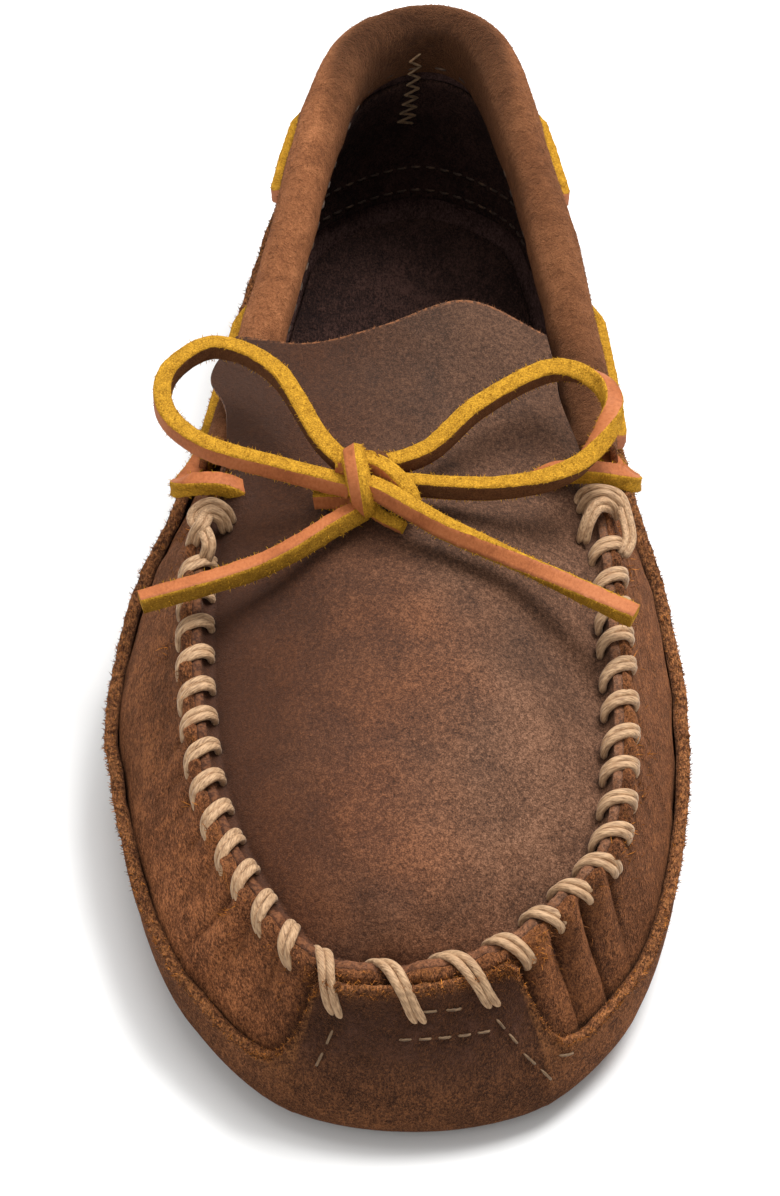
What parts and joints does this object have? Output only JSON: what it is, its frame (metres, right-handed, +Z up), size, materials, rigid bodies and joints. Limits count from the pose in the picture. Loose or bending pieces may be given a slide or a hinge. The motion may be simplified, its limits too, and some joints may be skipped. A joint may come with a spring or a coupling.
{
  "type": "moccasin",
  "caption": "Soft-soled suede moccasin for the right foot, with a whipstitched plug, rolled collar, wrapped second sole and a rawhide lace tied in a bow.",
  "frame": {"origin": "on the floor under the middle of the shoe's length and width", "axes": "+Z up, +Y from the toe to the heel, +X towards the big-toe side"},
  "size_m": [0.1221, 0.287, 0.0819],
  "materials": {
    "suede_sole": "rough hairy suede, reddish brown",
    "suede_wrap": "rough hairy suede, reddish brown",
    "waxed_leather": "waxed nubuck, greyish brown, mottled",
    "suede_collar": "soft brushed suede, lighter brown",
    "lining_suede": "dark brown soft suede",
    "foam": "open-cell foam",
    "waxed_cord": "waxed twisted cord, cream",
    "sewing_thread": "fine sewing thread",
    "rawhide": "smooth orange-tan grain, yellow fuzzy cut edges"
  },
  "bodies": {
    "shoe": {"outer_sole": "suede_sole", "upper_wrap": "suede_wrap", "plug": "waxed_leather", "collar": "suede_collar", "heel_counter": "lining_suede", "foam_pad": "foam", "sock_liner": "lining_suede", "seam_whipstitch": "waxed_cord", "lock_knot_left": "waxed_cord", "lock_knot_right": "waxed_cord", "toe_tab_stitching": "sewing_thread", "sole_edge_stitching": "sewing_thread", "collar_stitching": "sewing_thread", "counter_stitching": "sewing_thread", "back_seam_zigzag": "sewing_thread", "collar_lace": "rawhide", "lace_bridge_left": "rawhide", "lace_bridge_right": "rawhide", "lace_knot": "rawhide"},
    "tongue_flap": {"tongue": "waxed_leather"},
    "left_loop": {"bow_loop_left": "rawhide"},
    "right_loop": {"bow_loop_right": "rawhide"},
    "left_tail": {"lace_tail_left": "rawhide"},
    "right_tail": {"lace_tail_right": "rawhide"}
  },
  "joints": [
    {"name": "tongue_lift", "type": "hinge", "parent": "shoe", "child": "tongue_flap", "pos_m": [0, -0.0078, 0.068], "axis": [1, 0, 0], "range_deg": [0, 50]},
    {"name": "left_loop_lift", "type": "hinge", "parent": "shoe", "child": "left_loop", "pos_m": [-0.0102, -0.0262, 0.0738], "axis": [1, 0, 0], "range_deg": [0, 50]},
    {"name": "right_loop_lift", "type": "hinge", "parent": "shoe", "child": "right_loop", "pos_m": [-0.0015, -0.0252, 0.0742], "axis": [1, 0, 0], "range_deg": [0, 50]},
    {"name": "left_tail_lift", "type": "hinge", "parent": "shoe", "child": "left_tail", "pos_m": [-0.0106, -0.0346, 0.0702], "axis": [-0.3829, 0.9238, 0], "range_deg": [0, 60]},
    {"name": "right_tail_lift", "type": "hinge", "parent": "shoe", "child": "right_tail", "pos_m": [-0.001, -0.0326, 0.0748], "axis": [-0.408, -0.913, 0], "range_deg": [0, 60]}
  ],
  "couplings": [
    {"joint": "left_loop_lift", "follows": "tongue_lift", "ratio": 1},
    {"joint": "right_loop_lift", "follows": "tongue_lift", "ratio": 1}
  ]
}
